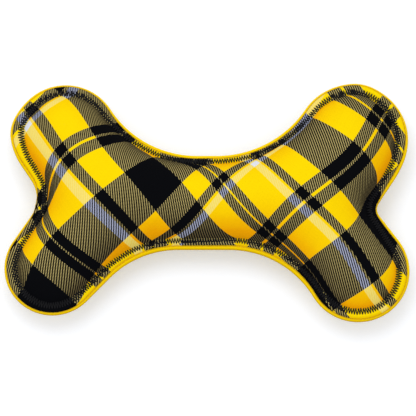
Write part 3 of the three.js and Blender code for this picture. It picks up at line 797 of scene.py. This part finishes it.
class Finish:
    """A node material. Its calls add nodes and return their sockets."""

    # Sockets of a mix node: its factor, the two that are mixed, and what comes out
    MIX_SOCKETS = {"RGBA": (0, 6, 7, 2), "FLOAT": (0, 2, 3, 0)}

    def __init__(self, name):
        self.material = bpy.data.materials.new(name)
        self.material.use_nodes = True
        self.tree = self.material.node_tree
        self.shader = self.tree.nodes["Principled BSDF"]

    def put(self, socket, value):
        if isinstance(value, bpy.types.NodeSocket):
            self.tree.links.new(value, socket)
        else:
            socket.default_value = value

    def node(self, kind, **inputs):
        node = self.tree.nodes.new(kind)
        for name, value in inputs.items():
            self.put(node.inputs[name.replace("_", " ").title()], value)
        return node

    def math(self, operation, *values):
        node = self.node("ShaderNodeMath")
        node.operation = operation
        for socket, value in zip(node.inputs, values):
            self.put(socket, value)
        return node.outputs[0]

    def mix(self, factor, first, second, kind="RGBA"):
        """Two values mixed by a factor, colours as a rule."""
        node = self.node("ShaderNodeMix")
        node.data_type = kind
        *inputs, output = self.MIX_SOCKETS[kind]
        for index, value in zip(inputs, (factor, first, second)):
            self.put(node.inputs[index], value)
        return node.outputs[output]

    def choose(self, factor, first, second):
        """Numbers mixed by a factor."""
        return self.mix(factor, first, second, "FLOAT")

    def noise(self, place, scale, detail):
        node = self.node("ShaderNodeTexNoise", vector=place, scale=scale, detail=detail)
        return node.outputs["Fac"]

    def object_place(self):
        return self.node("ShaderNodeTexCoord").outputs["Object"]

    def kept(self, name):
        """A number kept with the mesh's points."""
        node = self.node("ShaderNodeAttribute")
        node.attribute_name = name
        return node.outputs["Fac"]

    def bump(self, height, distance, strength=1.0):
        node = self.node("ShaderNodeBump", height=height, distance=distance, strength=strength)
        self.put(self.shader.inputs["Normal"], node.outputs[0])

    def set(self, **values):
        for name, value in values.items():
            self.put(self.shader.inputs[name.replace("_", " ")], value)


def sett_ramp(finish, sett, place):
    """Black and white shares of the thread at a place along the sett."""
    repeat = sum(width for _, width in sett)
    share = finish.math("FRACT", finish.math("DIVIDE", place, repeat))
    node = finish.node("ShaderNodeValToRGB", fac=share)
    ramp = node.color_ramp
    ramp.interpolation = "CONSTANT"
    marks = {"black": colour(1, 0, 0), "white": colour(0, 1, 0), "yellow": colour(0, 0, 0)}
    position = 0
    for i, (name, width) in enumerate(sett):
        element = ramp.elements[i] if i < len(ramp.elements) else ramp.elements.new(position)
        element.position = position
        element.color = marks[name]
        position += width / repeat
    parts = finish.node("ShaderNodeSeparateColor", color=node.outputs["Color"])
    return parts.outputs[0], parts.outputs[1]


def across_yarns(finish, map_name, warp_turn, weft_turn):
    """Millimetres across the warp yarns and across the weft yarns of a cloth's flat map."""
    flat = finish.node("ShaderNodeUVMap")
    flat.uv_map = map_name
    parts = finish.node("ShaderNodeSeparateXYZ", vector=flat.outputs[0])

    def measure(x_share, y_share):
        x = finish.math("MULTIPLY", parts.outputs[0], x_share)
        return finish.math("MULTIPLY_ADD", parts.outputs[1], y_share, x)

    warp = measure(math.cos(warp_turn), math.sin(warp_turn))
    weft = measure(math.sin(weft_turn), -math.cos(weft_turn))
    return warp, weft


def twill(finish, warp_turn, weft_turn):
    """Yarn counts across the warp and the weft, and where the warp lies on top in a two-by-two twill."""
    warp_place, weft_place = across_yarns(finish, "woven", warp_turn, weft_turn)
    warp = finish.math("DIVIDE", warp_place, YARN)
    weft = finish.math("DIVIDE", weft_place, YARN)
    both = finish.math("ADD", finish.math("FLOOR", warp), finish.math("FLOOR", weft))
    step = finish.math("FLOORED_MODULO", both, 2 * FLOAT_LENGTH)
    on_top = finish.math("LESS_THAN", step, FLOAT_LENGTH - 0.5)  # half way between two whole steps
    return warp, weft, on_top


def float_round(finish, warp, weft, on_top):
    """Roundness of whichever yarn lies on top, from 0 at its sides and where it dives under to 1."""

    def bow(place):
        return finish.math("SINE", finish.math("MULTIPLY", place, math.pi))

    def along(own, other):
        both = finish.math("ADD", finish.math("FLOOR", own), other)
        place = finish.math("FLOORED_MODULO", both, FLOAT_LENGTH)
        return bow(finish.math("MULTIPLY", place, 1 / FLOAT_LENGTH))

    warp_round = finish.math("MULTIPLY", bow(finish.math("FRACT", warp)), along(warp, weft))
    weft_round = finish.math("MULTIPLY", bow(finish.math("FRACT", weft)), along(weft, warp))
    return finish.choose(on_top, weft_round, warp_round)


def yarn_shade(finish, warp, weft, on_top):
    """Uneven dye and nap of the yarns, from 0 to 1."""
    thread = finish.math("FLOOR", finish.choose(on_top, weft, warp))
    node = finish.node("ShaderNodeTexWhiteNoise")
    node.noise_dimensions = "1D"
    finish.put(node.inputs["W"], thread)
    fluff = finish.noise(finish.object_place(), FLUFF_SCALE, FLUFF_DETAIL)
    fluff = finish.math("MULTIPLY", fluff, 1 - YARN_UNEVENNESS)
    return finish.math("MULTIPLY_ADD", node.outputs["Value"], YARN_UNEVENNESS, fluff)


def cloth(finish, surface_colour, rounded):
    """The finish's material, as dull cloth of a colour with its yarns standing up."""
    finish.set(Base_Color=surface_colour, Roughness=CLOTH_ROUGHNESS, Specular_IOR_Level=CLOTH_SHINE)
    finish.bump(rounded, YARN_BUMP * MM, YARN_BUMP_STRENGTH)
    return finish.material


def tartan_finish():
    """The front's twill. What a yarn looks like depends on the yarns that it crosses."""
    finish = Finish("tartan_twill")
    warp, weft, on_top = twill(finish, WARP_TURN, WEFT_TURN)
    warp_place, weft_place = across_yarns(finish, "striped", WARP_TURN, WEFT_TURN)
    warp_along = finish.math("SUBTRACT", warp_place, WARP_START)
    weft_along = finish.math("SUBTRACT", -WEFT_START, weft_place)
    warp_black, warp_white = sett_ramp(finish, WARP_SETT, warp_along)
    weft_black, weft_white = sett_ramp(finish, WEFT_SETT, weft_along)
    top_black = finish.choose(on_top, weft_black, warp_black)
    top_white = finish.choose(on_top, weft_white, warp_white)
    under_black = finish.choose(on_top, warp_black, weft_black)
    under_white = finish.choose(on_top, warp_white, weft_white)
    slope = finish.kept("slope")
    # painted shade: the yellow deepens to orange where the front falls away and faces the lower edge
    yellow = finish.mix(slope, YELLOW, ORANGE)
    white_top = finish.mix(under_white, WHITE_ON_YELLOW, WHITE)
    yellow_top = finish.mix(under_white, yellow, YELLOW_ON_WHITE)
    light = finish.mix(top_white, yellow_top, white_top)
    rounded = float_round(finish, warp, weft, on_top)
    # painted shade: yellow over black darkens where the front falls away
    khaki = finish.mix(slope, YELLOW_ON_BLACK, SHADED_YELLOW)
    # painted shade at the sides and ends of each float over black, partly the black yarn showing between
    # floats
    khaki = finish.mix(rounded, BLACK, khaki)
    lilac_share = finish.math("MULTIPLY_ADD", rounded, LILAC_DEPTH, 1 - LILAC_DEPTH)
    lilac = finish.mix(lilac_share, BLACK, WHITE_ON_BLACK)
    dim = finish.mix(top_white, khaki, lilac)
    lit = finish.mix(under_black, light, dim)
    surface_colour = finish.mix(top_black, lit, BLACK)
    shade = finish.math("MULTIPLY", yarn_shade(finish, warp, weft, on_top), DYE_UNEVENNESS)
    return cloth(finish, finish.mix(shade, surface_colour, BLACK), rounded)


def yellow_finish():
    """The back's plain twill, with painted shade on the outer roll of its rim."""
    finish = Finish("yellow_twill")
    warp, weft, on_top = twill(finish, BACK_TURN, BACK_TURN)
    shade = finish.math("MULTIPLY", yarn_shade(finish, warp, weft, on_top), BACK_UNEVENNESS)
    surface_colour = finish.mix(shade, YELLOW, ORANGE)
    # painted shade on the rim's outer roll
    wear_and_shade = finish.mix(finish.kept("soil"), surface_colour, RIM_PAINTED_SHADE)
    return cloth(finish, wear_and_shade, float_round(finish, warp, weft, on_top))


def thread_finish(name, base, wear_and_shade):
    finish = Finish(name)
    shade = finish.noise(finish.object_place(), THREAD_GRAIN, THREAD_DETAIL)
    finish.set(Base_Color=finish.mix(shade, base, wear_and_shade))
    finish.set(Roughness=THREAD_ROUGHNESS, Specular_IOR_Level=THREAD_SHINE)
    finish.bump(shade, THREAD_BUMP * MM)
    return finish.material


def fibre_finish():
    finish = Finish("loose_fibre")
    strands = finish.noise(finish.object_place(), STRAND_SCALE, STRAND_DETAIL)
    finish.set(Base_Color=finish.mix(strands, FIBRE_SHADE, FIBRE))
    finish.set(Roughness=FIBRE_ROUGHNESS, Sheen_Weight=FIBRE_SHEEN)
    finish.bump(strands, STRAND_BUMP * MM)
    return finish.material


def plastic_finish(name, base, roughness):
    finish = Finish(name)
    place = finish.object_place()
    cloud = finish.noise(place, CLOUD_SCALE, CLOUD_DETAIL)
    grain = finish.noise(place, PLASTIC_GRAIN, PLASTIC_DETAIL)
    shaded = colour(*(CLOUD_SHADE * share for share in base[:3]))
    finish.set(Base_Color=finish.mix(cloud, base, shaded), Subsurface_Weight=PLASTIC_GLOW)
    finish.set(Roughness=finish.math("MULTIPLY_ADD", grain, PLASTIC_UNEVENNESS, roughness))
    finish.bump(grain, PLASTIC_BUMP * MM, PLASTIC_BUMP_STRENGTH)
    return finish.material


def belongs(piece, body, slot, *nodes):
    """The piece moves with a body and stands for some solids, which it hides. Its slot is not used."""
    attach(piece, body)
    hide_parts(*nodes)


def yields(piece):
    """Gives the piece a mesh of its own."""
    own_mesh(piece)


def front_cover():
    piece = mesh_object("front_cover", FRONT_PLACES, FRONT_FACES)
    flat = flattened(FRONT_PLACES, FRONT_FACES, flat_guess(FRONT_RIM))
    add_flat_map(piece, "woven", twill_lean(flat))
    add_flat_map(piece, "striped", striped_places(flat))
    add_slope_shade(piece, FRONT_PLACES, FRONT_FACES)
    piece.data.materials.append(tartan_finish())
    solid_cloth(piece)
    belongs(piece, "toy_body", "tartan_cloth", "front_panel")
    yields(piece)


def back_cover():
    piece = mesh_object("back_cover", BACK_PLACES, BACK_FACES)
    add_flat_map(piece, "woven", flat_guess(BACK_RIM))
    add_rim_shade(piece)
    piece.data.materials.append(yellow_finish())
    solid_cloth(piece)
    belongs(piece, "toy_body", "yellow_cloth", "back_panel")


class Threads:
    """Short round threads gathered into one mesh."""

    def __init__(self):
        self.places = []
        self.faces = []

    def add(self, path):
        """One thread along a path of points, closed at both ends."""
        way = np.gradient(path, axis=0)
        way /= np.linalg.norm(way, axis=1)[:, None]
        aside = np.cross(way, (0, 0, 1))
        aside /= np.linalg.norm(aside, axis=1)[:, None]
        over = np.cross(aside, way)
        start = THREAD_SIDES * sum(len(rings) for rings in self.places)
        turns = (np.arange(THREAD_SIDES) * 2 * math.pi / THREAD_SIDES)[None, :, None]
        round_it = np.cos(turns) * aside[:, None, :] + np.sin(turns) * over[:, None, :]
        self.places.append(path[:, None, :] + THREAD_RADIUS * round_it)
        for i in range(len(path) - 1):
            for j in range(THREAD_SIDES):
                k = (j + 1) % THREAD_SIDES
                here = start + i * THREAD_SIDES
                there = here + THREAD_SIDES
                self.faces.append((here + j, here + k, there + k, there + j))
        last = start + (len(path) - 1) * THREAD_SIDES
        self.faces.append(tuple(range(start + THREAD_SIDES - 1, start - 1, -1)))
        self.faces.append(tuple(range(last, last + THREAD_SIDES)))

    def made(self, name):
        return mesh_object(name, np.concatenate(self.places).reshape(-1, 3), self.faces)


def places_along(inset, lengths):
    """Points, outward directions and stations at lengths along the ring at an inset."""
    line = ring(inset)
    steps = abs(np.roll(line, -1) - line)
    marks = np.concatenate([[0], np.cumsum(steps)])
    at = np.interp(lengths % marks[-1], marks, np.arange(STATIONS + 1))
    low = np.floor(at).astype(int) % STATIONS
    share = at - np.floor(at)
    high = (low + 1) % STATIONS
    inset_there = inset[low] * (1 - share) + inset[high] * share
    outward = OUTWARD[low] * (1 - share) + OUTWARD[high] * share
    edge = EDGE[low] * (1 - share) + EDGE[high] * share
    return edge - outward * inset_there, outward, low


def run_length(inset):
    """Length all round at an inset."""
    line = ring(inset)
    return abs(np.roll(line, -1) - line).sum()


def overlap_run():
    """Lengths along the stitching between which the zigzag was sewn twice."""
    line = ring(STITCH)
    lengths = np.cumsum(abs(np.diff(line, prepend=line[0])))
    low, high = ZIGZAG_OVERLAP
    twice = (line.imag > 0) & (line.real > low) & (line.real < high)
    return lengths[twice].min(), lengths[twice].max()


def laid(tree, side, points, arch):
    """A path through points, at the heights of an arch over a panel's outer face."""
    path = []
    for point, rise in zip(points, arch):
        start = Vector((point.real, point.imag, SEAM_HEIGHT + side * CAST_REACH))
        height = tree.ray_cast(start, Vector((0, 0, -side)))[0].z
        path.append((point.real, point.imag, height + side * rise))
    return np.array(path)


def zigzag(tree, side, seed):
    """The topstitching on one side, from hole to hole across the line and twice where it was started."""
    random = np.random.default_rng(seed)
    threads = Threads()
    start, end = overlap_run()
    for first, last in ((0, run_length(STITCH)), (start, end)):
        count = round((last - first) / ZIGZAG_PITCH) * 2
        lengths = np.linspace(first, last, count + 1)
        lengths[1:-1] += random.normal(0, ZIGZAG_WAVER, count - 1)
        middle, outward, station = places_along(STITCH, lengths)
        across = ZIGZAG_REACH[station] + random.normal(0, ZIGZAG_WAVER, count + 1)
        across[-1] = across[0]
        holes = middle + outward * across * np.where(np.arange(count + 1) % 2, 1, -1)
        for i in range(count):
            points = np.linspace(holes[i], holes[i + 1], len(THREAD_ARCH))
            threads.add(laid(tree, side, points, THREAD_ARCH))
    return threads


def add_topstitching():
    """The zigzag on the front, and its bobbin thread on the back."""
    finish = thread_finish("black_thread", THREAD_BLACK, THREAD_WORN)
    front = BVHTree.FromPolygons(FRONT_PLACES.tolist(), FRONT_FACES)
    back = BVHTree.FromPolygons(BACK_PLACES.tolist(), BACK_FACES)
    needle = zigzag(front, 1, FRONT_ZIGZAG_SEED).made("front_zigzag")
    bobbin = zigzag(back, -1, BACK_ZIGZAG_SEED).made("back_zigzag")
    for piece, node in ((needle, "topstitch_needle_thread"), (bobbin, "topstitch_bobbin_thread")):
        piece.data.materials.append(finish)
        belongs(piece, "toy_body", "black_thread", node)
    yields(needle)


def add_seam():
    """Lockstitches in the groove between the front's fold and the back's rim."""
    back = BVHTree.FromPolygons(BACK_PLACES.tolist(), [face[::-1] for face in BACK_FACES])
    inset = SEAM_SHARE * RIM + SEAM_INSET
    total = run_length(inset)
    count = round(total / (SEAM_STITCH + SEAM_GAP))
    threads = Threads()
    for i in range(count):
        lengths = i * total / count + np.linspace(0, SEAM_STITCH, len(SEAM_ARCH))
        points = places_along(inset, lengths)[0]
        threads.add(laid(back, 1, points, SEAM_ARCH))
    piece = threads.made("seam_stitches")
    piece.data.materials.append(thread_finish("yellow_thread", SEAM_YELLOW, SEAM_WORN))
    belongs(piece, "toy_body", "yellow_thread", "seam_thread")


def fibre_piece(node, tufts):
    """Loose fibre in the place of a fill solid, drawn in unevenly between its tufts."""
    piece = linked(node.replace("_fill", "") + "_fibre", frame["nodes"][node].data.copy())
    even = piece.modifiers.new("even", "REMESH")
    even.mode = "VOXEL"
    even.voxel_size = FIBRE_VOXEL * MM
    even.use_smooth_shade = True
    drawn = piece.modifiers.new("tufts", "DISPLACE")
    drawn.texture = tufts
    drawn.texture_coords = "LOCAL"
    drawn.mid_level = 1  # inwards only
    drawn.strength = TUFT_DEPTH * MM
    return piece


def add_fibre():
    """Fibre for each fill solid and wad; those of the toy's body but the back wad get meshes of their own.
    """
    finish = fibre_finish()
    tufts = bpy.data.textures.new("tufts", "CLOUDS")
    tufts.noise_scale = TUFT_SIZE * MM
    tufts.noise_depth = TUFT_DETAIL
    for body, nodes in frame["record"]["behaviour"]["bodies"].items():
        for node in nodes:
            if not node.endswith(("_fill", "_wad")):
                continue
            piece = fibre_piece(node, tufts)
            piece.data.materials.clear()
            piece.data.materials.append(finish)
            belongs(piece, body, "fibre_fill", node)
            if body == "toy_body" and node != "back_wad":
                yields(piece)


def add_bellows(finish):
    """The drum's pleated wall, with round crests and folds."""
    low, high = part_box("squeaker_bellows")
    bottom = low.z / MM
    wall_height = high.z / MM - bottom
    radius = high.x / MM
    steps = np.linspace(0, 1, PLEATS * PLEAT_STEPS + 1)
    fold = PLEAT_DEPTH * (0.5 - 0.5 * np.cos(2 * math.pi * PLEATS * steps))
    outer = np.stack([radius - fold, bottom + wall_height * steps], axis=1)
    inner = outer[::-1] - (BELLOWS_WALL, 0)
    profile = np.concatenate([outer, inner])
    turns = np.arange(BELLOWS_SEGMENTS) * 2 * math.pi / BELLOWS_SEGMENTS
    places = []
    faces = []
    count = len(profile)
    for i, turn in enumerate(turns):
        for reach, height in profile:
            places.append((reach * math.cos(turn), reach * math.sin(turn), height))
        after = (i + 1) % BELLOWS_SEGMENTS
        for j in range(count):
            k = (j + 1) % count
            faces.append((i * count + j, after * count + j, after * count + k, i * count + k))
    piece = mesh_object("pleated_wall", places, faces)
    piece.data.materials.append(finish)
    belongs(piece, "toy_body", "squeaker_plastic", "squeaker_bellows")
    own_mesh(piece)


def add_squeaker():
    """The drum's wall, and the finish and worn edges of the solids that show as they are."""
    drum = plastic_finish("drum_plastic", PLASTIC, DRUM_ROUGHNESS)
    reed = plastic_finish("reed_plastic", REED_SHEET, REED_ROUGHNESS)
    add_bellows(drum)
    for node in ("squeaker_base", "squeaker_crown", "reed_plug", "reed_seat", "reed_clamp", "reed_tongue"):
        solid = frame["nodes"][node]
        solid.material_slots[0].material = reed if node == "reed_tongue" else drum
        edges = solid.modifiers.new("worn_edges", "BEVEL")
        edges.width = PLASTIC_ROUND * MM
        edges.segments = PLASTIC_ROUND_STEPS


def add_floor():
    """White paper, which is brighter as it is seen than in the light that it throws on the toy."""
    corners = [(x * FLOOR_REACH, y * FLOOR_REACH, 0) for x, y in ((-1, -1), (1, -1), (1, 1), (-1, 1))]
    floor = mesh_object("floor", corners, [(0, 1, 2, 3)])
    finish = Finish("floor_paper")
    path = finish.node("ShaderNodeLightPath").outputs
    mirrored = finish.math("ADD", path["Is Glossy Ray"], path["Is Transmission Ray"])
    seen = finish.math("ADD", path["Is Camera Ray"], mirrored)
    finish.set(Base_Color=finish.mix(seen, FLOOR_BOUNCE, FLOOR_PAPER))
    finish.set(Roughness=1.0, Specular_IOR_Level=0.0)
    finish.set(Emission_Color=LIGHT, Emission_Strength=finish.math("MULTIPLY", seen, FLOOR_GLOW))
    floor.data.materials.append(finish.material)


def add_light():
    """An even white sky, and a soft lamp from the upper left."""
    world = bpy.data.worlds.new("studio")
    bpy.context.scene.world = world
    world.use_nodes = True
    background = world.node_tree.nodes["Background"]
    background.inputs["Color"].default_value = LIGHT
    background.inputs["Strength"].default_value = SKY

    lamp = bpy.data.lights.new("key", "AREA")
    lamp.size = KEY_SIZE
    lamp.energy = KEY_POWER
    key = linked("key", lamp)
    key.location = KEY_PLACE
    key.rotation_euler = (-key.location).to_track_quat("-Z", "Y").to_euler()


def add_camera():
    """A long lens from well above, as the photo was taken."""
    camera = linked("camera", bpy.data.cameras.new("camera"))
    target = Vector((0, 0, SEAM_HEIGHT * MM))
    away = Vector((0, -math.cos(CAMERA_ELEVATION), math.sin(CAMERA_ELEVATION)))
    camera.location = target + CAMERA_DISTANCE * away
    camera.rotation_euler = (math.pi / 2 - CAMERA_ELEVATION, 0, 0)
    camera.data.sensor_width = CAMERA_SENSOR
    camera.data.lens = CAMERA_SENSOR * CAMERA_DISTANCE / (FRAME_WIDTH * MM)
    camera.data.shift_x, camera.data.shift_y = VIEW_SHIFT
    bpy.context.scene.camera = camera
    bpy.context.scene.view_settings.view_transform = "Standard"


front_cover()
back_cover()
add_topstitching()
add_seam()
add_fibre()
add_squeaker()
add_floor()
add_light()
add_camera()
